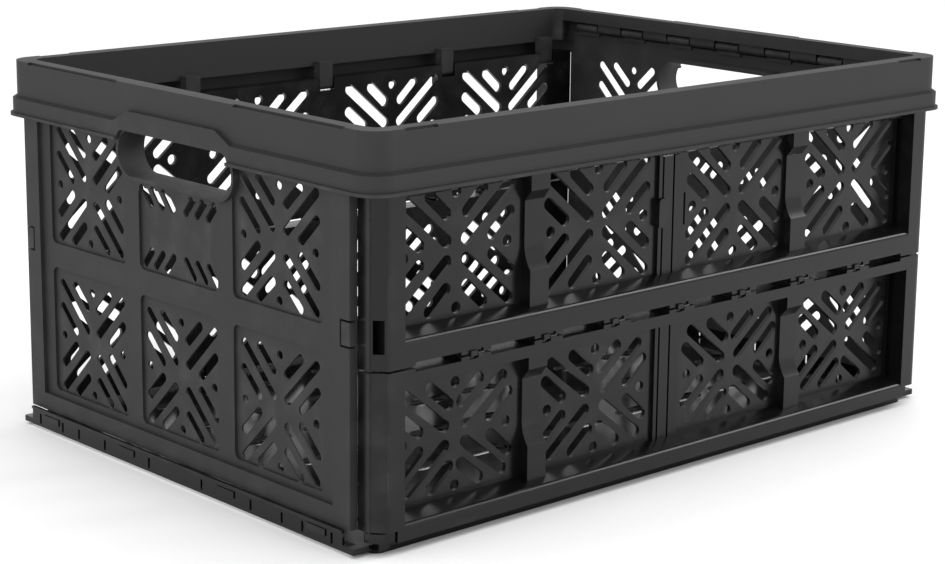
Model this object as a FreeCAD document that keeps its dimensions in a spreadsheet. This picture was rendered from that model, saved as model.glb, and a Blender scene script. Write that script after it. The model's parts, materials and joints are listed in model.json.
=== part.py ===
"""Collapsible storage crate: base, rim, two swing-in end walls and four folding wall halves.

X runs along the long side, Y along the short side, Z up.  The origin is the middle of the
footprint on the surface that the crate stands on.  The front long wall is at -Y and the left
end wall at -X.  Each long wall is a lower and an upper half: the lower half is hinged to the
base, the upper half to the rim, and the two are hinged to each other just outside their outer
faces, so that the outer faces fold together flat.
"""
import FreeCAD, Part

import math
import os
import re

from FreeCAD import Placement, Rotation, Vector

# Driving dimensions, in millimetres.
SIZES = {
    "overall_length": 475.0,
    "overall_width": 353.6,
    "overall_height": 227.0,
    # rim
    "corner_radius": 16.0,
    "shell": 1.6,
    "lip_bottom": 193.6,
    "lip_height": 1.8,
    "lip_out": 1.4,
    "skirt_top": 204.4,
    "band_inset": 3.8,
    "flange_width": 9.0,
    "flange_thickness": 2.2,
    "inner_band_bottom": 204.0,
    "short_band_bottom": 218.5,
    "short_band_reach": 158.0,
    "arch_half": 47.0,
    "arch_top": 199.8,
    "pad_foot_half": 58.0,
    "pad_top_half": 42.0,
    "pad_top": 211.5,
    "stack_step": 1.5,
    # long walls
    "wall_face": 171.5,
    "wall_thickness": 16.0,
    "wall_skin": 2.5,
    "wall_end": 228.85,
    "post_bottom": 13.5,
    "rail_bottom": 7.0,
    "rail_end": 215.0,
    "wall_top": 196.0,
    "post_radius": 9.0,
    "cell_pitch": 108.6,
    "cell_width": 94.5,
    "lower_cell_bottom": 16.0,
    "lower_cell_top": 91.4,
    "upper_cell_bottom": 115.7,
    "upper_cell_top": 187.5,
    "top_rise": 2.7,
    "rib_inset": 6.5,
    "ledge_rise": 3.2,
    "strip_half": 10.0,
    "strip_height": 2.0,
    "fin_x": 206.6,
    "rib_foot_height": 22.0,
    "scoop_depth": 5.0,
    "scoop_height": 44.0,
    "lower_grille_z": 53.5,
    "upper_grille_z": 155.0,
    "latch_low": 110.0,
    "latch_high": 128.0,
    "latch_inner": 222.5,
    # fold hinges
    "hinge_inset": 12.0,
    "base_hinge_z": 10.0,
    "half_reach": 90.5,
    "fold_gap": 0.3,
    "half_gap": 1.2,
    "rod_radius": 2.0,
    "rod_half": 216.0,
    "lug_radius": 3.0,
    "lug_width": 11.0,
    "lug_inner_x": 108.6,
    "lug_outer_x": 205.0,
    "lug_play": 0.5,
    "knuckle_radius": 1.0,
    "knuckle_length": 4.5,
    "pin_radius": 0.5,
    "running_fit": 0.05,
    "window_pitch": 53.5,
    "window_half": 16.0,
    "window_height": 5.0,
    # end walls
    "end_face": 234.2,
    "end_back": 229.0,
    "end_skin": 1.2,
    "end_half": 155.35,
    "end_bottom": 13.5,
    "end_frame_top": 201.5,
    "end_strip_face": 231.2,
    "end_hinge_x": 227.5,
    "end_hinge_z": 214.5,
    "end_knuckle_radius": 3.0,
    "end_knuckle_pitch": 45.0,
    "end_knuckle_length": 20.0,
    "end_lug_length": 22.0,
    "end_rod_radius": 1.5,
    "end_rod_half": 146.0,
    "panel_face": 231.8,
    "panel_half": 141.0,
    "panel_bottom": 24.0,
    "tongue_reach": 8.0,
    "side_cell_centre": 91.3,
    "side_cell_half": 39.5,
    "mid_cell_half": 38.0,
    "end_lower_bottom": 28.0,
    "end_lower_top": 105.0,
    "end_upper_bottom": 120.0,
    "end_upper_top": 195.0,
    "end_mid_top": 168.0,
    "end_lower_grille_z": 63.5,
    "end_upper_grille_z": 156.5,
    "handle_z": 187.0,
    "handle_radius": 13.5,
    "handle_half": 41.0,
    "handle_wall": 2.0,
    "handle_inner_x": 216.0,
    # base
    "floor_bottom": 2.0,
    "floor_top": 4.5,
    "base_half_y": 161.0,
    "base_half_x": 228.4,
    "foot_half_y": 162.8,
    "foot_inset": 5.0,
    "foot_top": 4.5,
    "rail_inner_x": 235.2,
    "rail_outer_x": 236.5,
    "rail_lip_x": 237.2,
    "rail_top": 13.6,
    "rail_lip_height": 1.6,
    "corner_web_y": 161.2,
    "corner_inner_x": 215.6,
    "corner_low_top": 5.5,
    "corner_gap_y": 155.8,
    "corner_step_y": 160.6,
    "corner_plate_low": 8.0,
    "corner_plate_top": 13.1,
    "corner_plate_y": 170.4,
    "rail_half_y": 152.0,
}

# Sizes that follow from the driving ones.
SIZES["hinge_y"] = SIZES["wall_face"] - SIZES["hinge_inset"]
SIZES["wall_back"] = SIZES["wall_face"] - SIZES["wall_thickness"]
SIZES["mid_z"] = SIZES["base_hinge_z"] + SIZES["half_reach"]
SIZES["mid_y"] = SIZES["wall_face"] + SIZES["fold_gap"]
SIZES["rim_hinge_z"] = SIZES["mid_z"] + SIZES["half_reach"]

doc = FreeCAD.newDocument("crate")
sheet = doc.addObject("Spreadsheet::Sheet", "sizes")
for row, (alias, number) in enumerate(SIZES.items(), start=1):
    sheet.set("A%d" % row, alias)
    sheet.set("B%d" % row, str(number))
    sheet.setAlias("B%d" % row, alias)
doc.recompute()


def size(alias):
    """Number held by one cell of the sheet."""
    return float(sheet.get(alias))


def bind(thing, prop, text):
    """Bind a property to an expression in which every word is an alias of the sheet."""
    thing.setExpression(prop, re.sub(r"[a-z_]+", lambda word: "sizes." + word.group(0), str(text)))


def block(name, x_range, y_range, z_range):
    """Box between two corners; each range is a pair of expressions."""
    box = doc.addObject("Part::Box", name)
    spans = (("x", "Length", x_range), ("y", "Width", y_range), ("z", "Height", z_range))
    for axis, prop, (low, high) in spans:
        bind(box, "Placement.Base." + axis, low)
        bind(box, prop, "(%s) - (%s)" % (high, low))
    return box


TURN_TO_X = Rotation(Vector(0, 1, 0), 90)
TURN_TO_Y = Rotation(Vector(1, 0, 0), -90)


def round_bar(name, along, radius, start, length, across, height):
    """Cylinder along X or Y that starts at start, with its axis at (across, height)."""
    bar = doc.addObject("Part::Cylinder", name)
    bar.Placement = Placement(Vector(), TURN_TO_X if along == "x" else TURN_TO_Y)
    bind(bar, "Radius", radius)
    bind(bar, "Height", length)
    bind(bar, "Placement.Base.x", start if along == "x" else across)
    bind(bar, "Placement.Base.y", across if along == "x" else start)
    bind(bar, "Placement.Base.z", height)
    return bar


def union(name, parts):
    fused = doc.addObject("Part::MultiFuse", name)
    fused.Shapes = parts
    return fused


def group(name, parts):
    """Separate solids kept together, not fused."""
    bundle = doc.addObject("Part::Compound", name)
    bundle.Links = parts
    return bundle


def minus(name, base, tools):
    """Base with every tool cut out of it."""
    cut = doc.addObject("Part::Cut", name)
    cut.Base = base
    cut.Tool = union(name + "_tools", tools) if len(tools) > 1 else tools[0]
    return cut


def mirror(name, source, normal):
    copy = doc.addObject("Part::Mirroring", name)
    copy.Source = source
    copy.Base = Vector()
    copy.Normal = normal
    return copy


# The three sketch planes: the sketch's own axes in the crate's frame.
PLANES = {
    "flat": Rotation(),                          # x, y -> X, Y; extrudes to +Z
    "front": Rotation(Vector(1, 0, 0), 90),      # x, y -> X, Z; extrudes to -Y
    "side": Rotation(Vector(1, 1, 1), 120),      # x, y -> Y, Z; extrudes to +X
}
NORMAL_AXIS = {"flat": "z", "front": "y", "side": "x"}


def prism(name, plane, edges, start, depth):
    """Sketch of closed loops on a plane at start, extruded by depth along the plane's normal."""
    sketch = doc.addObject("Sketcher::SketchObject", name + "_sketch")
    sketch.Placement = Placement(Vector(), PLANES[plane])
    bind(sketch, "Placement.Base." + NORMAL_AXIS[plane], start)
    sketch.addGeometry(edges, False)
    solid = doc.addObject("Part::Extrusion", name)
    solid.Base = sketch
    solid.DirMode = "Normal"
    solid.Solid = True
    bind(solid, "LengthFwd", depth)
    return solid


def line(start, end):
    return Part.LineSegment(Vector(start[0], start[1], 0), Vector(end[0], end[1], 0))


def arc(centre, radius, first, last):
    """Arc from one angle to a larger one, in degrees."""
    circle = Part.Circle(Vector(centre[0], centre[1], 0), Vector(0, 0, 1), radius)
    return Part.ArcOfCircle(circle, math.radians(first), math.radians(last))


def circle_loop(centre, radius):
    return [Part.Circle(Vector(centre[0], centre[1], 0), Vector(0, 0, 1), radius)]


def polygon(points):
    return [line(point, points[(step + 1) % len(points)]) for step, point in enumerate(points)]


def rounded_box(half_x, half_y, radius, centre=(0, 0)):
    """Closed loop of a rectangle with round corners."""
    mid_x, mid_y = centre
    flat_x = half_x - radius
    flat_y = half_y - radius
    loop = []
    for step, (sign_x, sign_y) in enumerate(((1, 1), (-1, 1), (-1, -1), (1, -1))):
        corner = (mid_x + sign_x * flat_x, mid_y + sign_y * flat_y)
        loop.append(arc(corner, radius, 90 * step, 90 * step + 90))
    loop.append(line((mid_x + flat_x, mid_y + half_y), (mid_x - flat_x, mid_y + half_y)))
    loop.append(line((mid_x - half_x, mid_y + flat_y), (mid_x - half_x, mid_y - flat_y)))
    loop.append(line((mid_x - flat_x, mid_y - half_y), (mid_x + flat_x, mid_y - half_y)))
    loop.append(line((mid_x + half_x, mid_y - flat_y), (mid_x + half_x, mid_y + flat_y)))
    return loop


def slot(start, end, radius):
    """Round-ended slot between the centres of its two ends."""
    angle = math.degrees(math.atan2(end[1] - start[1], end[0] - start[0]))
    aside_x = -radius * math.sin(math.radians(angle))
    aside_y = radius * math.cos(math.radians(angle))
    return [
        line((start[0] + aside_x, start[1] + aside_y), (end[0] + aside_x, end[1] + aside_y)),
        arc(end, radius, angle - 90, angle + 90),
        line((end[0] - aside_x, end[1] - aside_y), (start[0] - aside_x, start[1] - aside_y)),
        arc(start, radius, angle + 90, angle + 270),
    ]


# Grilles of the three kinds of cell.  In each quarter lie three parallel diagonal slots, given by
# their end centres from the middle of the cell, and at the middle of each side a round hole.
GRILLES = {
    "lower": {
        "slots": (((7.5, 5.5), (34.5, 26.5)), ((4.5, 17.5), (17.5, 28.0)),
                  ((26.0, 5.5), (38.8, 16.5))),
        "slot_radius": 3.6, "holes": (37.3, 29.0), "hole_radius": 3.2,
    },
    "upper": {
        "slots": (((7.0, 5.5), (38.0, 31.5)), ((7.5, 20.5), (19.0, 31.0)),
                  ((26.0, 5.5), (38.5, 16.0))),
        "slot_radius": 3.6, "holes": (36.8, 31.5), "hole_radius": 3.3,
    },
    "end": {
        "slots": (((6.4, 7.7), (31.6, 32.0)), ((6.3, 22.0), (17.7, 32.7)),
                  ((19.0, 4.6), (32.2, 17.5))),
        "slot_radius": 2.9, "holes": (31.3, 31.5), "hole_radius": 2.6,
    },
}


def grille(kind, middle_x, middle_y):
    """Loops of one cell's slots and holes."""
    pattern = GRILLES[kind]
    loops = []
    for sign_x in (-1, 1):
        for sign_y in (-1, 1):
            for near, far in pattern["slots"]:
                start = (middle_x + sign_x * near[0], middle_y + sign_y * near[1])
                end = (middle_x + sign_x * far[0], middle_y + sign_y * far[1])
                loops += slot(start, end, pattern["slot_radius"])
    out_x, out_y = pattern["holes"]
    for side in (-1, 1):
        loops += circle_loop((middle_x + side * out_x, middle_y), pattern["hole_radius"])
        loops += circle_loop((middle_x, middle_y + side * out_y), pattern["hole_radius"])
    return loops


X_NORMAL = Vector(1, 0, 0)
Y_NORMAL = Vector(0, 1, 0)
LUG_PLACES = ("-lug_outer_x", "-lug_inner_x", "0", "lug_inner_x", "lug_outer_x")
CELL_PLACES = (-1.5, -0.5, 0.5, 1.5)
GRILLE_MIDDLES = (-163.5, -57.3, 57.3, 163.5)
KNUCKLE_STEPS = range(-3, 4)
WINDOW_STEPS = (-3.5, -2.5, -1.5, -0.5, 0.5, 1.5, 2.5, 3.5)


def both(name, one, normal):
    """A feature and its mirror image."""
    return [one, mirror(name, one, normal)]


def hinge_lugs(name, axis_z, web_z):
    """Row of lugs round the front hinge axis, each with a web over the heights web_z."""
    solids = []
    for number, place in enumerate(LUG_PLACES):
        x_range = ("%s - lug_width / 2" % place, "%s + lug_width / 2" % place)
        y_range = ("-hinge_y - lug_radius", "-hinge_y + lug_radius")
        solids.append(round_bar("%s_eye_%d" % (name, number), "x", "lug_radius", x_range[0],
                                "lug_width", "-hinge_y", axis_z))
        solids.append(block("%s_web_%d" % (name, number), x_range, y_range, web_z))
    return union(name, solids)


# --------------------------------------------------------------------------- base
SLIT_PLACES = (-143, -118, -100, -72, -26, 26, 72, 100, 118, 143)
TAB_PLACES = (-130, -49, 49, 130)
FLOOR_COLUMNS = 10
FLOOR_ROWS = 6
FLOOR_COLUMN_PITCH = 43.0
FLOOR_ROW_PITCH = 50.0


def floor_openings():
    """Round-ended openings over the whole floor."""
    loops = []
    for column in range(FLOOR_COLUMNS):
        middle_x = (column - (FLOOR_COLUMNS - 1) / 2) * FLOOR_COLUMN_PITCH
        for row in range(FLOOR_ROWS):
            middle_y = (row - (FLOOR_ROWS - 1) / 2) * FLOOR_ROW_PITCH
            loops += slot((middle_x - 10, middle_y), (middle_x + 10, middle_y), 6.0)
    return prism("floor_openings", "flat", loops, "-1", "floor_top + 2")


def end_rail():
    """Thin outboard rail under the left end wall, with its lip, slits and tabs."""
    y_range = ("-rail_half_y", "rail_half_y")
    plate = block("rail_plate", ("-rail_outer_x", "-rail_inner_x"), y_range,
                  ("floor_bottom", "rail_top"))
    foot = block("rail_foot", ("-rail_outer_x", "-rail_inner_x"),
                 ("-corner_web_y", "corner_web_y"), ("floor_bottom", "corner_low_top"))
    lip = block("rail_lip", ("-rail_lip_x", "-rail_inner_x"), y_range,
                ("rail_top - rail_lip_height", "rail_top"))
    slits = []
    for number, place in enumerate(SLIT_PLACES):
        slits.append(block("rail_slit_%d" % number, ("-rail_lip_x - 1", "-rail_inner_x + 1"),
                           ("%d - 1" % place, "%d + 1" % place),
                           ("floor_bottom + 2", "rail_top - 3.5")))
    solids = [minus("rail_slit", union("rail_full", [plate, foot, lip]), slits)]
    for number, place in enumerate(TAB_PLACES):
        solids.append(block("rail_tab_%d" % number, ("-rail_lip_x", "-rail_outer_x + 0.2"),
                            ("%d - 8" % place, "%d + 8" % place),
                            ("rail_top / 2", "rail_top - 3")))
    return union("rail", solids)


def corner_loop(outer_x, outer_y, inner_y, radius):
    """Closed loop of the front left corner, with its outer corner rounded."""
    inner_x = size("corner_inner_x")
    return [
        line((-inner_x, -inner_y), (-outer_x, -inner_y)),
        line((-outer_x, -inner_y), (-outer_x, -outer_y + radius)),
        arc((-outer_x + radius, -outer_y + radius), radius, 180, 270),
        line((-outer_x + radius, -outer_y), (-inner_x, -outer_y)),
        line((-inner_x, -outer_y), (-inner_x, -inner_y)),
    ]


def corner_web():
    """Low web at the front left corner that carries the end rail."""
    return block("corner_low", ("-rail_outer_x", "-corner_inner_x"),
                 ("-corner_web_y", "-corner_gap_y"), ("floor_bottom", "corner_low_top"))


def corner_plate():
    """Rounded plate on a stem under the front left post."""
    outline = corner_loop(size("wall_end"), size("corner_plate_y"), size("corner_step_y"),
                          size("post_radius"))
    plate = prism("corner_plate_top", "flat", outline, "corner_plate_low",
                  "corner_plate_top - corner_plate_low")
    stem = block("corner_stem", ("-wall_end + 6", "-corner_inner_x"),
                 ("-corner_plate_y + 5", "-corner_web_y + 1"),
                 ("floor_bottom", "corner_plate_low + 1"))
    return union("corner_plate", [plate, stem])


def make_base():
    foot_x = size("base_half_x") - size("foot_inset")
    foot_y = size("foot_half_y")
    foot_loops = rounded_box(foot_x, foot_y, 5) + rounded_box(foot_x - 3, foot_y - 3, 2)
    solids = [
        block("floor", ("-base_half_x", "base_half_x"), ("-base_half_y", "base_half_y"),
              ("floor_bottom", "floor_top")),
        prism("foot_ring", "flat", foot_loops, "0", "foot_top"),
    ]
    for number in range(FLOOR_ROWS - 1):
        middle = (number - (FLOOR_ROWS - 2) / 2) * FLOOR_ROW_PITCH
        solids.append(block("floor_rib_%d" % number, ("-base_half_x", "base_half_x"),
                            ("%s - 1" % middle, "%s + 1" % middle), ("0.5", "floor_top")))
    webs = union("webs_left", both("web_back", corner_web(), Y_NORMAL))
    solids += both("webs_right", webs, X_NORMAL)
    plate = corner_plate()
    plate_back = mirror("corner_plate_back", plate, Y_NORMAL)
    solids += [plate, mirror("corner_plate_opposite", plate_back, X_NORMAL)]
    solids += both("rail_right", end_rail(), X_NORMAL)
    lugs = hinge_lugs("base_lugs", "base_hinge_z", ("floor_bottom", "base_hinge_z"))
    solids += both("base_lugs_back", lugs, Y_NORMAL)
    bore = round_bar("base_bore", "x", "rod_radius", "-rod_half", "2 * rod_half", "-hinge_y",
                     "base_hinge_z")
    tools = [floor_openings()] + both("base_bore_back", bore, Y_NORMAL)
    return minus("base", union("base_solid", solids), tools)


# --------------------------------------------------------------------------- rim
END_LUGS = 6


def rim_ring(name, outer, inner, low, high):
    """Rounded ring between two insets from the crate's outline."""
    half_x = size("overall_length") / 2
    half_y = size("overall_width") / 2
    radius = size("corner_radius")
    loops = []
    for inset in (outer, inner):
        loops += rounded_box(half_x - inset, half_y - inset, max(radius - inset * 0.6, 3.0))
    return prism(name, "flat", loops, low, "(%s) - (%s)" % (high, low))


def rim_shell():
    """Skirt, upper band, top flange and inner band, without lugs."""
    lip_out = size("lip_out")
    shell = size("shell")
    band = size("band_inset")
    inner = band + size("flange_width")
    top = "overall_height"
    rings = [
        rim_ring("lip", 0.0, lip_out + shell, "lip_bottom", "lip_bottom + lip_height"),
        rim_ring("skirt", lip_out, lip_out + shell, "lip_bottom", "skirt_top"),
        rim_ring("ledge", lip_out, band + shell, "skirt_top - shell", "skirt_top"),
        rim_ring("ledge_step", lip_out + 0.8, band + shell, "skirt_top - shell",
                 "skirt_top + 0.6"),
        rim_ring("ledge_top_step", lip_out + 1.6, band + shell, "skirt_top - shell",
                 "skirt_top + 1.2"),
        rim_ring("band", band, band + shell, "skirt_top - shell", top),
        rim_ring("flange", band, inner, "overall_height - flange_thickness", top),
        rim_ring("inner_band", inner, inner + shell, "inner_band_bottom", top),
    ]
    window = block("band_window", ("-overall_length / 2 + 8", "-overall_length / 2 + 18"),
                   ("-short_band_reach", "short_band_reach"),
                   ("inner_band_bottom - 1", "short_band_bottom"))
    return minus("rim_shell", union("rim_rings", rings), both("band_windows", window, X_NORMAL))


def end_lugs():
    """Lugs under the left flange that carry the end wall's hinge rod."""
    solids = []
    for number in range(END_LUGS):
        middle = "%s * end_knuckle_pitch" % (number - (END_LUGS - 1) / 2)
        y_range = (middle + " - end_lug_length / 2", middle + " + end_lug_length / 2")
        solids.append(round_bar("end_lug_eye_%d" % number, "y", "end_knuckle_radius", y_range[0],
                                "end_lug_length", "-end_hinge_x", "end_hinge_z"))
        solids.append(block("end_lug_web_%d" % number,
                            ("-end_hinge_x - 2", "-end_hinge_x + end_knuckle_radius"), y_range,
                            ("end_hinge_z", "overall_height - 1")))
    return union("end_lugs", solids)


def handle_pad():
    """Raised trapezoid of the skirt above the left handle."""
    low = size("skirt_top") - 1
    points = [
        (-size("pad_foot_half"), low),
        (size("pad_foot_half"), low),
        (size("pad_top_half"), size("pad_top")),
        (-size("pad_top_half"), size("pad_top")),
    ]
    return prism("handle_pad", "side", polygon(points), "-overall_length / 2 + lip_out",
                 "band_inset - lip_out + shell / 2")


def rim_cuts():
    """Handle arch, lowered stretches of the top edge and hinge bores."""
    arch_half = size("arch_half") + 6
    arch_loop = rounded_box(arch_half, 7, 5.5, (0, size("arch_top") - 7))
    left = [prism("handle_arch", "side", arch_loop, "-overall_length / 2 - 1",
                  "lip_out + shell + 1.6")]
    heights = ("overall_height - stack_step", "overall_height + 1")
    left.append(block("short_step", ("-overall_length / 2", "-overall_length / 2 + 6"),
                      ("56", "150"), heights))
    left.append(mirror("short_step_back", left[1], Y_NORMAL))
    left.append(round_bar("end_bore", "y", "end_rod_radius", "-end_rod_half", "2 * end_rod_half",
                          "-end_hinge_x", "end_hinge_z"))
    step = block("long_step", ("190", "212"), ("-overall_width / 2", "-overall_width / 2 + 6"),
                 heights)
    front = both("long_step_left", step, X_NORMAL)
    front.append(round_bar("rim_bore", "x", "rod_radius", "-rod_half", "2 * rod_half",
                           "-hinge_y", "rim_hinge_z"))
    tools = both("left_cuts_mirrored", group("left_cuts", left), X_NORMAL)
    return tools + both("front_cuts_mirrored", group("front_cuts", front), Y_NORMAL)


def make_rim():
    lugs = hinge_lugs("rim_lugs", "rim_hinge_z", ("rim_hinge_z", "inner_band_bottom + 3"))
    solids = [rim_shell()]
    solids += both("handle_pad_right", handle_pad(), X_NORMAL)
    solids += both("rim_lugs_back", lugs, Y_NORMAL)
    solids += both("end_lugs_right", end_lugs(), X_NORMAL)
    return minus("rim", union("rim_solid", solids), rim_cuts())


# --------------------------------------------------------------------------- long walls
def wall_slab(name, low, high):
    """Wall with round outer corners, up to its full length."""
    end = size("wall_end")
    face = -size("wall_face")
    back = -size("wall_back")
    radius = size("post_radius")
    loop = [
        line((-end, back), (end, back)),
        line((end, back), (end, face + radius)),
        arc((end - radius, face + radius), radius, -90, 0),
        line((end - radius, face), (-end + radius, face)),
        arc((-end + radius, face + radius), radius, 180, 270),
        line((-end, face + radius), (-end, back)),
    ]
    return prism(name, "flat", loop, low, "(%s) - (%s)" % (high, low))


def ledge_edge(face, low):
    """Outer edge of a ledge, rounded over in four short facets."""
    return [(face - 1, low - 1.9), (face, low - 1.9), (face + 0.3, low - 0.8),
            (face + 1.0, low - 0.1), (face + 2.0, low + 0.4)]


def cell_pockets(name, low, high, top_rise):
    """Outer recess of the four cells; each floor slopes down towards the face."""
    face = -size("wall_face")
    foot = -size("wall_back") - size("wall_skin")
    rib = face + size("rib_inset")
    outline = ledge_edge(face, size(low)) + [
        (foot, size(low) + size("ledge_rise")),
        (foot, size(high)),
        (rib, size(high) + top_rise),
        (face - 1, size(high) + top_rise),
    ]
    pockets = []
    for number, place in enumerate(CELL_PLACES):
        pockets.append(prism("%s_%d" % (name, number), "side", polygon(outline),
                             "%s * cell_pitch - cell_width / 2" % place, "cell_width"))
    pockets.append(prism(name + "_middle", "side", polygon(outline), "-cell_pitch / 2",
                         "cell_pitch"))
    return pockets


def rib_recess(name, low, top):
    """Shallow recess across all four cells, so that the ribs stand back from the face."""
    face = -size("wall_face")
    rib = face + size("rib_inset")
    slope = size("ledge_rise") / (size("wall_thickness") - size("wall_skin"))
    outline = ledge_edge(face, size(low)) + [
        (rib, size(low) + slope * size("rib_inset")),
        (rib, top),
        (face - 1, top),
    ]
    return prism(name, "side", polygon(outline), "-1.5 * cell_pitch - cell_width / 2",
                 "3 * cell_pitch + cell_width")


def skin_strips(name, low, high):
    """Low middle strip on the skin and a thin upright fin beside each post."""
    heights = (low + " + 1", high + " + 1")
    front = "-wall_back - wall_skin - strip_height"
    back = "-wall_back - wall_skin + 0.5"
    strip = block(name + "_middle", ("-strip_half", "strip_half"), (front, back), heights)
    groove = block(name + "_groove", ("-7.4", "-6"), (front + " - 1", front + " + 1.6"), heights)
    second = block(name + "_groove_right", ("1.4", "2.8"), (front + " - 1", front + " + 1.6"),
                   heights)
    fin = block(name + "_fin", ("-fin_x - 1.2", "-fin_x"), (front, back), heights)
    return [minus(name + "_grooved", strip, [groove, second])] + both(name + "_fins", fin, X_NORMAL)


def rib_scoops(name, low):
    """Curved thumb scoop in the face of the two outer ribs, above a plain foot."""
    face = -size("wall_face") + size("rib_inset")
    start = size(low) + size("rib_foot_height")
    end = start + size("scoop_height")
    deep = face + size("scoop_depth")
    bend = start + 15
    curve = Part.Arc(Vector(face, start, 0), Vector(deep - 1.3, start + 6.5, 0),
                     Vector(deep, bend, 0))
    loop = [
        line((face - 1, start), (face, start)),
        curve,
        line((deep, bend), (deep, end - 6)),
        line((deep, end - 6), (face, end)),
        line((face, end), (face - 1, end)),
        line((face - 1, end), (face - 1, start)),
    ]
    scoop = prism(name, "side", loop, "-1.5 * cell_pitch + cell_width / 2",
                  "cell_pitch - cell_width")
    return both(name + "_right", scoop, X_NORMAL)


def post_channels(name, low, high):
    """Vertical channel down the round corner of each post."""
    middle_x = -size("wall_end") + size("post_radius")
    middle_y = -size("wall_face") + size("post_radius")
    diagonal = math.sqrt(0.5)
    points = []
    for radial, aside in ((6.8, -4.5), (12.0, -4.5), (12.0, 4.5), (6.8, 4.5)):
        points.append((middle_x - diagonal * (radial + aside),
                       middle_y - diagonal * (radial - aside)))
    channel = prism(name, "flat", polygon(points), low + " - 1", "%s - %s + 2" % (high, low))
    return both(name + "_right", channel, X_NORMAL)


def grilles(name, kind, height):
    """All slots and holes of one wall half, through its skin."""
    loops = []
    for middle in GRILLE_MIDDLES:
        loops += grille(kind, middle, size(height))
    return prism(name, "front", loops, "-wall_back + 1", "wall_skin + 2")


def lug_notches(name, heights):
    """Notches in the edge, open to the inside, for the hinge lugs."""
    notches = []
    for number, place in enumerate(LUG_PLACES):
        x_range = ("%s - lug_width / 2 - lug_play" % place,
                   "%s + lug_width / 2 + lug_play" % place)
        y_range = ("-hinge_y - lug_radius - lug_play", "-wall_back + 1")
        notches.append(block("%s_%d" % (name, number), x_range, y_range, heights))
    return notches


def windows(name):
    """See-through windows between the two halves, along the fold line."""
    cuts = []
    for number, step in enumerate(WINDOW_STEPS):
        middle = "%s * window_pitch" % step
        cuts.append(block("%s_%d" % (name, number),
                          (middle + " - window_half", middle + " + window_half"),
                          ("-wall_face - 1", "-wall_back + 1"),
                          ("mid_z - window_height / 2", "mid_z + window_height / 2")))
    return cuts


def knuckle_span(step, upper):
    """X range of one fold knuckle: the upper one lies left of the lower one."""
    middle = "%s * window_pitch" % step
    if upper:
        return (middle + " - fold_gap - knuckle_length", middle + " - fold_gap")
    return (middle + " + fold_gap", middle + " + fold_gap + knuckle_length")


def knuckles(name, upper):
    """Small barrels on the fold line, each with a shoulder on its own half."""
    heights = ("mid_z", "mid_z + 2.2") if upper else ("mid_z - 2.2", "mid_z")
    solids = []
    for number, step in enumerate(KNUCKLE_STEPS):
        span = knuckle_span(step, upper)
        solids.append(round_bar("%s_eye_%d" % (name, number), "x", "knuckle_radius", span[0],
                                "knuckle_length", "-mid_y", "mid_z"))
        solids.append(block("%s_shoulder_%d" % (name, number), span,
                            ("-mid_y - knuckle_radius", "-mid_y + knuckle_radius"), heights))
    return solids


def knuckle_notches(name, upper):
    """Room in one half for the other half's knuckles."""
    heights = ("mid_z - 1", "mid_z + 2.7") if upper else ("mid_z - 2.7", "mid_z + 1")
    notches = []
    for number, step in enumerate(KNUCKLE_STEPS):
        span = knuckle_span(step, not upper)
        notches.append(block("%s_%d" % (name, number),
                             (span[0] + " - fold_gap", span[1] + " + fold_gap"),
                             ("-wall_face - 3", "-mid_y + knuckle_radius + fold_gap"), heights))
    return notches


def fold_bores(name, radius):
    bores = []
    for number, step in enumerate(KNUCKLE_STEPS):
        bores.append(round_bar("%s_%d" % (name, number), "x", radius,
                               knuckle_span(step, True)[0], "2 * (knuckle_length + fold_gap)",
                               "-mid_y", "mid_z"))
    return bores


def make_wall_lower():
    low = "lower_cell_bottom"
    slab = wall_slab("lower_slab", "post_bottom", "mid_z - half_gap / 2")
    rail = block("lower_rail", ("-rail_end", "rail_end"), ("-wall_face", "-wall_back"),
                 ("rail_bottom", "post_bottom"))
    hollow = minus("lower_hollow", union("lower_outline", [slab, rail]),
                   cell_pockets("lower_pocket", low, "lower_cell_top", 0.0)
                   + [rib_recess("lower_recess", low, size("lower_cell_top"))]
                   + knuckle_notches("lower_knuckle_notch", False))
    solid = union("lower_solid", [hollow] + skin_strips("lower_strip", low, "lower_cell_top")
                  + knuckles("lower_knuckle", False))
    tools = [grilles("lower_grille", "lower", "lower_grille_z")]
    tools += rib_scoops("lower_scoop", low)
    tools += post_channels("lower_channel", "post_bottom", "mid_z")
    tools += lug_notches("lower_notch", ("rail_bottom - 1",
                                         "base_hinge_z + lug_radius + lug_play"))
    tools += windows("lower_window")
    tools += fold_bores("lower_fold_bore", "pin_radius + running_fit")
    tools.append(round_bar("lower_bore", "x", "rod_radius + running_fit", "-rail_end - 1",
                           "2 * (rail_end + 1)", "-hinge_y", "base_hinge_z"))
    return minus("wall_lower_front", solid, tools)


def spring_clip():
    """Small rounded tab on the middle strip of the upper half."""
    outline = rounded_box(3.6, 8.5, 2.4, (-7.5, 155.0))
    return prism("spring_clip", "front", outline, "-wall_back - wall_skin", "strip_height + 1.8")


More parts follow.
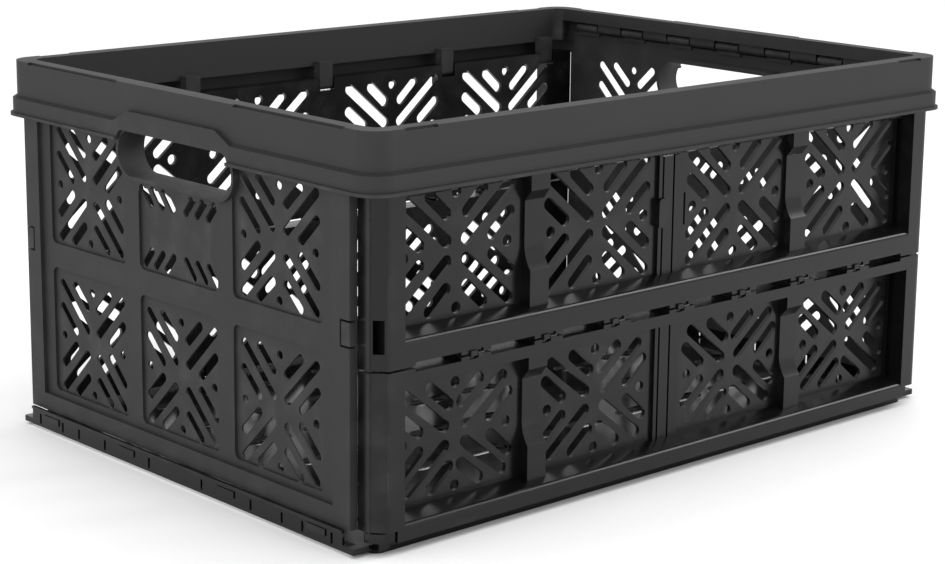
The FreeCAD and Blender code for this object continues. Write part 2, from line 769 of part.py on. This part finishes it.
def make_wall_upper():
    low = "upper_cell_bottom"
    slab = wall_slab("upper_slab", "mid_z + half_gap / 2", "wall_top")
    hollow = minus("upper_hollow", slab,
                   cell_pockets("upper_pocket", low, "upper_cell_top", size("top_rise"))
                   + [rib_recess("upper_recess", low, size("wall_top") + 1)]
                   + knuckle_notches("upper_knuckle_notch", True))
    solid = union("upper_solid", [hollow, spring_clip()]
                  + skin_strips("upper_strip", low, "upper_cell_top")
                  + knuckles("upper_knuckle", True))
    latch_front = block("latch_front", ("-wall_end - 1", "-latch_inner"),
                        ("-wall_face - 1", "-wall_face + 5"), ("latch_low", "latch_high"))
    latch_deep = block("latch_deep", ("-wall_end + 2", "-latch_inner"),
                       ("-wall_face", "-wall_face + 13.5"), ("latch_low", "latch_high"))
    latch = union("latch_hole", [latch_front, latch_deep])
    slit = block("spring_slit", ("12.9", "14.5"), ("-wall_face", "-wall_back + 1"), ("145", "164"))
    tools = [grilles("upper_grille", "upper", "upper_grille_z"), slit]
    tools += rib_scoops("upper_scoop", low)
    tools += post_channels("upper_channel", "mid_z", "wall_top")
    tools += both("latch_hole_right", latch, X_NORMAL)
    tools += lug_notches("upper_notch", ("rim_hinge_z - lug_radius - lug_play", "wall_top + 1"))
    tools += windows("upper_window")
    tools += fold_bores("upper_fold_bore", "pin_radius")
    tools.append(round_bar("upper_bore", "x", "rod_radius + running_fit", "-rod_half - 0.5",
                           "rod_half + wall_end + 2", "-hinge_y", "rim_hinge_z"))
    return minus("wall_upper_front", solid, tools)


# --------------------------------------------------------------------------- end walls
END_KNUCKLES = 7
SLOT_ROW_PLACES = (9.7, 20.4, 31.1)
SLOT_ROW_HEIGHTS = (163.5, 127.5)


def end_pockets():
    """Outer recess of the five cells of the left end wall."""
    side = size("side_cell_centre")
    half = size("side_cell_half")
    mid_half = size("mid_cell_half")
    rows = (("end_lower_bottom", "end_lower_top"), ("end_upper_bottom", "end_upper_top"))
    loops = []
    for low, high in rows:
        middle = (size(low) + size(high)) / 2
        half_height = (size(high) - size(low)) / 2
        for place in (-side, side):
            loops += rounded_box(half, half_height, 4, (place, middle))
        if low == "end_upper_bottom":
            middle = (size(low) + size("end_mid_top")) / 2
            half_height = (size("end_mid_top") - size(low)) / 2
        loops += rounded_box(mid_half, half_height, 4, (0, middle))
    return prism("end_pockets", "side", loops, "-end_face - 1", "end_face - end_back - end_skin + 1")


def end_grilles():
    """Slots and holes of the end wall, with two short rows round its blank band."""
    side = size("side_cell_centre")
    loops = []
    for place in (-side, side):
        loops += grille("end", place, size("end_upper_grille_z"))
    for place in (-side, 0, side):
        loops += grille("end", place, size("end_lower_grille_z"))
    for height, lean in zip(SLOT_ROW_HEIGHTS, (1, -1)):
        for place in SLOT_ROW_PLACES:
            for sign in (-1, 1):
                foot = (sign * (place - 3.6 * lean), height - 4.2)
                head = (sign * (place + 3.6 * lean), height + 4.2)
                loops += slot(foot, head, 2.4)
    return prism("end_grilles", "side", loops, "-end_face - 1", "end_face - end_back + 2")


def handle(name, radius, start, depth):
    """Stadium across the left end wall."""
    half = size("handle_half")
    height = size("handle_z")
    return prism(name, "side", slot((-half, height), (half, height), radius), start, depth)


def tongue_outline():
    """Grooves that outline the snap tongue on the left end wall's front edge."""
    x_range = ("-end_face - 1", "-end_back - 1.5")
    y_range = ("-end_half - 1", "-end_half + tongue_reach")
    return [
        block("tongue_low", x_range, y_range, ("latch_low + 2", "latch_low + 3.2")),
        block("tongue_high", x_range, y_range, ("latch_high - 2.2", "latch_high - 1")),
        block("tongue_root", x_range,
              ("-end_half + tongue_reach - 1.2", "-end_half + tongue_reach"),
              ("latch_low + 2", "latch_high - 1")),
    ]


def make_end_wall():
    plate = block("end_plate", ("-end_face", "-end_back"), ("-end_half", "end_half"),
                  ("end_bottom", "end_frame_top"))
    strip = block("end_strip", ("-end_strip_face", "-end_back"), ("-end_half + 3", "end_half - 3"),
                  ("end_frame_top - 1", "end_hinge_z - 4"))
    panel = block("end_panel", ("-end_face - 1", "-panel_face"), ("-panel_half", "panel_half"),
                  ("panel_bottom", "end_frame_top + 1"))
    pocket = minus("end_pocketed", plate, [panel, end_pockets()])
    outer = size("handle_radius") + size("handle_wall")
    solids = [pocket, strip, handle("handle_ring", outer, "-end_face", "end_face - handle_inner_x")]
    for number in range(END_KNUCKLES):
        middle = "%s * end_knuckle_pitch" % (number - (END_KNUCKLES - 1) / 2)
        y_range = (middle + " - end_knuckle_length / 2", middle + " + end_knuckle_length / 2")
        solids.append(round_bar("end_knuckle_%d" % number, "y", "end_knuckle_radius", y_range[0],
                                "end_knuckle_length", "-end_hinge_x", "end_hinge_z"))
        solids.append(block("end_arm_%d" % number, ("-end_hinge_x - end_knuckle_radius", "-end_hinge_x"),
                            y_range, ("end_hinge_z - 5.5", "end_hinge_z")))
    tools = [end_grilles(),
             handle("handle_hole", size("handle_radius"), "-end_face - 1",
                    "end_face - handle_inner_x + 2"),
             round_bar("end_wall_bore", "y", "end_rod_radius + running_fit", "-end_half",
                       "2 * end_half", "-end_hinge_x", "end_hinge_z")]
    tools += both("tongue_groove_back", union("tongue_groove", tongue_outline()), Y_NORMAL)
    return minus("end_wall_left", union("end_solid", solids), tools)


# --------------------------------------------------------------------------- hinge rods and pins
def make_rods():
    """Hinge rods and fold pins of the front and left, by node name."""
    return {
        "base_hinge_rod_front": round_bar("base_rod", "x", "rod_radius", "-rod_half",
                                          "2 * rod_half", "-hinge_y", "base_hinge_z"),
        "rim_hinge_rod_front": round_bar("rim_rod", "x", "rod_radius", "-rod_half",
                                         "2 * rod_half", "-hinge_y", "rim_hinge_z"),
        "fold_hinge_pins_front": group("fold_pins", fold_bores("fold_pin", "pin_radius")),
        "end_hinge_rod_left": round_bar("end_rod", "y", "end_rod_radius", "-end_rod_half",
                                        "2 * end_rod_half", "-end_hinge_x", "end_hinge_z"),
    }


def make_nodes():
    """Every sub-part by node name."""
    nodes = {
        "base": make_base(),
        "rim": make_rim(),
        "wall_lower_front": make_wall_lower(),
        "wall_upper_front": make_wall_upper(),
        "end_wall_left": make_end_wall(),
    }
    nodes.update(make_rods())
    for name in list(nodes):
        if name.endswith("_front"):
            back = name[:-len("front")] + "back"
            nodes[back] = mirror(back + "_copy", nodes[name], Y_NORMAL)
        elif name.endswith("_left"):
            right = name[:-len("left")] + "right"
            nodes[right] = mirror(right + "_copy", nodes[name], X_NORMAL)
    return nodes


def check(nodes):
    """Stop if any object failed to build or any sub-part has no sound shape."""
    for thing in doc.Objects:
        if "Invalid" in thing.State or "Error" in thing.State:
            raise RuntimeError("%s: %s" % (thing.Name, thing.State))
    for name, thing in nodes.items():
        if thing.Shape.isNull() or not thing.Shape.isValid():
            raise RuntimeError("no sound shape: " + name)


def main():
    nodes = make_nodes()
    doc.recompute()
    check(nodes)
    os.makedirs("parts", exist_ok=True)
    for name, thing in nodes.items():
        thing.Label = name
        thing.Shape.exportStep("parts/%s.step" % name)
        shape = thing.Shape
        print("%s: %d solids, %.0f mm3" % (name, len(shape.Solids), shape.Volume))


main()
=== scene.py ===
"""Looks of the collapsible storage crate: moulded plastic, soft studio light and camera."""

import json
import math

import bpy
from mathutils import Matrix, Vector


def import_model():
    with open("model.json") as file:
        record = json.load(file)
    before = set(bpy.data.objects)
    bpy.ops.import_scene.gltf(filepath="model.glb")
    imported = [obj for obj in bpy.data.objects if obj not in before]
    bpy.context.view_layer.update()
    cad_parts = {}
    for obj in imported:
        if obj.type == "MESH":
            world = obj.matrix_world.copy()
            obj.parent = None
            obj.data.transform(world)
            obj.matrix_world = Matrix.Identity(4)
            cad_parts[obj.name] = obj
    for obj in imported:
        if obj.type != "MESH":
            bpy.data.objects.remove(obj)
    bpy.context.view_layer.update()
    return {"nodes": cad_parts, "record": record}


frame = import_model()


# ------------------------------------------------------------------ plastic
PLASTIC_IOR = 1.49
GRAIN_DEPTH = 0.00012      # metres
CLOUD_SCALE = 9.0
GLOSS_SCALE = 14.0
HIGHLIGHT_BREAKUP_SCALE = 60.0
GRAIN_SCALE = 1400.0


def noise(tree, scale, detail):
    """Noise that is fixed to the piece it is on."""
    place = tree.nodes.new("ShaderNodeTexCoord")
    texture = tree.nodes.new("ShaderNodeTexNoise")
    texture.inputs["Scale"].default_value = scale
    texture.inputs["Detail"].default_value = detail
    tree.links.new(place.outputs["Object"], texture.inputs["Vector"])
    return texture.outputs["Fac"]


def ramp(tree, source, start, end):
    """Grey that runs from one (position, value) of the source to another."""
    node = tree.nodes.new("ShaderNodeValToRGB")
    for element, (position, value) in zip(node.color_ramp.elements, (start, end)):
        element.position = position
        element.color = (value, value, value, 1)
    tree.links.new(source, node.inputs["Fac"])
    return node.outputs["Color"]


def blend(tree, kind, factor, first, second):
    """Colour mix. Each of its inputs is a socket or a plain value."""
    node = tree.nodes.new("ShaderNodeMix")
    node.data_type = "RGBA"
    node.blend_type = kind
    for name, value in (("Factor", factor), ("A", first), ("B", second)):
        target = [socket for socket in node.inputs if socket.name == name and socket.enabled][0]
        if isinstance(value, bpy.types.NodeSocket):
            tree.links.new(value, target)
        else:
            target.default_value = value
    return [socket for socket in node.outputs if socket.enabled][0]


def clouds_and_edge_highlight(tree, colour):
    """Plain colour with faint flow clouds, and a painted highlight: paler on sharp edges, in
    patches.
    """
    clouds = ramp(tree, noise(tree, CLOUD_SCALE, 3.0), (0.25, 0.99), (0.75, 1.01))
    moulded = blend(tree, "MULTIPLY", 1.0, (*colour, 1), clouds)
    geometry = tree.nodes.new("ShaderNodeNewGeometry")
    # Painted highlight: sharp edges (pointiness) are mixed towards a paler grey and broken into
    # patches by noise.
    edge = ramp(tree, geometry.outputs["Pointiness"], (0.54, 0.0), (0.66, 1.0))
    highlight_breakup = ramp(tree, noise(tree, HIGHLIGHT_BREAKUP_SCALE, 6.0), (0.45, 0.0), (0.75, 1.0))
    edge_highlight = blend(tree, "MULTIPLY", 1.0, edge, highlight_breakup)
    highlight_tint = tuple(c * 2.0 + 0.014 for c in colour)
    return blend(tree, "MIX", edge_highlight, moulded, (*highlight_tint, 1))


def plastic(name, colour, roughness, grain, gloss_spread, reflectance):
    """Moulded polypropylene: fine grain, faint flow clouds, uneven gloss and painted highlights
    on sharp edges.
    """
    material = bpy.data.materials.new(name)
    material.use_nodes = True
    tree = material.node_tree
    shader = tree.nodes["Principled BSDF"]
    shader.inputs["IOR"].default_value = PLASTIC_IOR
    shader.inputs["Specular IOR Level"].default_value = reflectance
    tree.links.new(clouds_and_edge_highlight(tree, colour), shader.inputs["Base Color"])
    gloss = ramp(tree, noise(tree, GLOSS_SCALE, 4.0),
                 (0.3, roughness - gloss_spread), (0.7, roughness + gloss_spread))
    tree.links.new(gloss, shader.inputs["Roughness"])
    bump = tree.nodes.new("ShaderNodeBump")
    bump.inputs["Strength"].default_value = grain
    bump.inputs["Distance"].default_value = GRAIN_DEPTH
    tree.links.new(noise(tree, GRAIN_SCALE, 2.0), bump.inputs["Height"])
    tree.links.new(bump.outputs["Normal"], shader.inputs["Normal"])
    return material


MATERIALS = {
    "crate_plastic": plastic("rim_and_ends", (0.0165, 0.0165, 0.0169), 0.62, 0.45, 0.015, 0.36),
    "wall_plastic": plastic("long_walls", (0.0035, 0.0035, 0.0037), 0.24, 0.12, 0.03, 0.30),
    "base_plastic": plastic("glossy_base", (0.003, 0.003, 0.0032), 0.13, 0.06, 0.02, 0.26),
    "rod_plastic": plastic("hinge_rods", (0.007, 0.007, 0.0073), 0.3, 0.12, 0.03, 0.32),
}


# ------------------------------------------------------------------ pieces
SOFT_EDGE = 0.0005         # metres
SHARP_ANGLE = math.radians(35)


def rounded_edges(piece):
    """Softens the sharp edges of a moulded piece."""
    bevel = piece.modifiers.new("soft_edges", "BEVEL")
    bevel.width = SOFT_EDGE
    bevel.segments = 2
    bevel.limit_method = "ANGLE"
    bevel.angle_limit = SHARP_ANGLE
    bevel.use_clamp_overlap = True
    bevel.harden_normals = False


def finish_pieces():
    """Gives every CAD node its plastic. The base shares the walls' slot, but is glossier."""
    slots = {part["node"]: part["material_slot"] for part in frame["record"]["subparts"]}
    for name, piece in frame["nodes"].items():
        finish = "base_plastic" if name == "base" else slots[name]
        piece.data.materials.clear()
        piece.data.materials.append(MATERIALS[finish])
        if finish != "rod_plastic":
            rounded_edges(piece)


# ------------------------------------------------------------------ floor, light and camera
FLOOR_HALF = 3.5
CRATE_MIDDLE = (0, 0, 0.12)
LIGHTS = (
    # name, place, width, height, power
    ("overhead", (0.0, 0.0, 1.9), 2.4, 2.0, 12),
    ("left_window", (-2.0, -0.4, 0.9), 1.2, 1.2, 9),
    ("edge_light", (1.7, -0.7, 1.5), 0.5, 1.2, 12),
    ("front_window", (0.6, -2.1, 0.8), 1.4, 0.9, 6),
)
CAMERA_PLACE = (-0.95907, -1.04552, 0.41979)
CAMERA_TURN = math.radians(-42.284)
CAMERA_FALL = math.radians(12.35)
CAMERA_ROLL = math.radians(0.59)


def floor():
    mesh = bpy.data.meshes.new("floor")
    corners = [(-FLOOR_HALF, -FLOOR_HALF, 0), (FLOOR_HALF, -FLOOR_HALF, 0),
               (FLOOR_HALF, FLOOR_HALF, 0), (-FLOOR_HALF, FLOOR_HALF, 0)]
    mesh.from_pydata(corners, [], [(0, 1, 2, 3)])
    piece = bpy.data.objects.new("floor", mesh)
    bpy.context.scene.collection.objects.link(piece)
    material = bpy.data.materials.new("floor")
    material.use_nodes = True
    shader = material.node_tree.nodes["Principled BSDF"]
    shader.inputs["Base Color"].default_value = (0.9, 0.9, 0.9, 1)
    shader.inputs["Roughness"].default_value = 0.9
    mesh.materials.append(material)


def soft_light(name, place, width, height, power):
    """Rectangular lamp that faces the middle of the crate."""
    lamp = bpy.data.lights.new(name, "AREA")
    lamp.shape = "RECTANGLE"
    lamp.size = width
    lamp.size_y = height
    lamp.energy = power
    piece = bpy.data.objects.new(name, lamp)
    piece.location = place
    facing = Vector(CRATE_MIDDLE) - Vector(place)
    piece.rotation_euler = facing.to_track_quat("-Z", "Y").to_euler()
    bpy.context.scene.collection.objects.link(piece)


def world():
    """Even white surroundings."""
    scene = bpy.context.scene
    scene.world = bpy.data.worlds.new("studio")
    scene.world.use_nodes = True
    background = scene.world.node_tree.nodes["Background"]
    background.inputs["Color"].default_value = (1, 1, 1, 1)
    background.inputs["Strength"].default_value = 1.02
    scene.view_settings.view_transform = "Standard"


def camera():
    """Camera in front of the crate's front left corner, looking slightly down."""
    lens = bpy.data.cameras.new("camera")
    lens.lens = 87.84
    lens.sensor_width = 36.0
    lens.shift_y = -0.0414
    piece = bpy.data.objects.new("camera", lens)
    piece.location = CAMERA_PLACE
    level = math.cos(CAMERA_FALL)
    ahead = Vector((-math.sin(CAMERA_TURN) * level, math.cos(CAMERA_TURN) * level,
                    -math.sin(CAMERA_FALL)))
    aim = ahead.to_track_quat("-Z", "Y").to_matrix().to_4x4()
    piece.rotation_euler = (aim @ Matrix.Rotation(CAMERA_ROLL, 4, "Z")).to_euler()
    bpy.context.scene.collection.objects.link(piece)
    bpy.context.scene.camera = piece


finish_pieces()
floor()
world()
for light in LIGHTS:
    soft_light(*light)
camera()
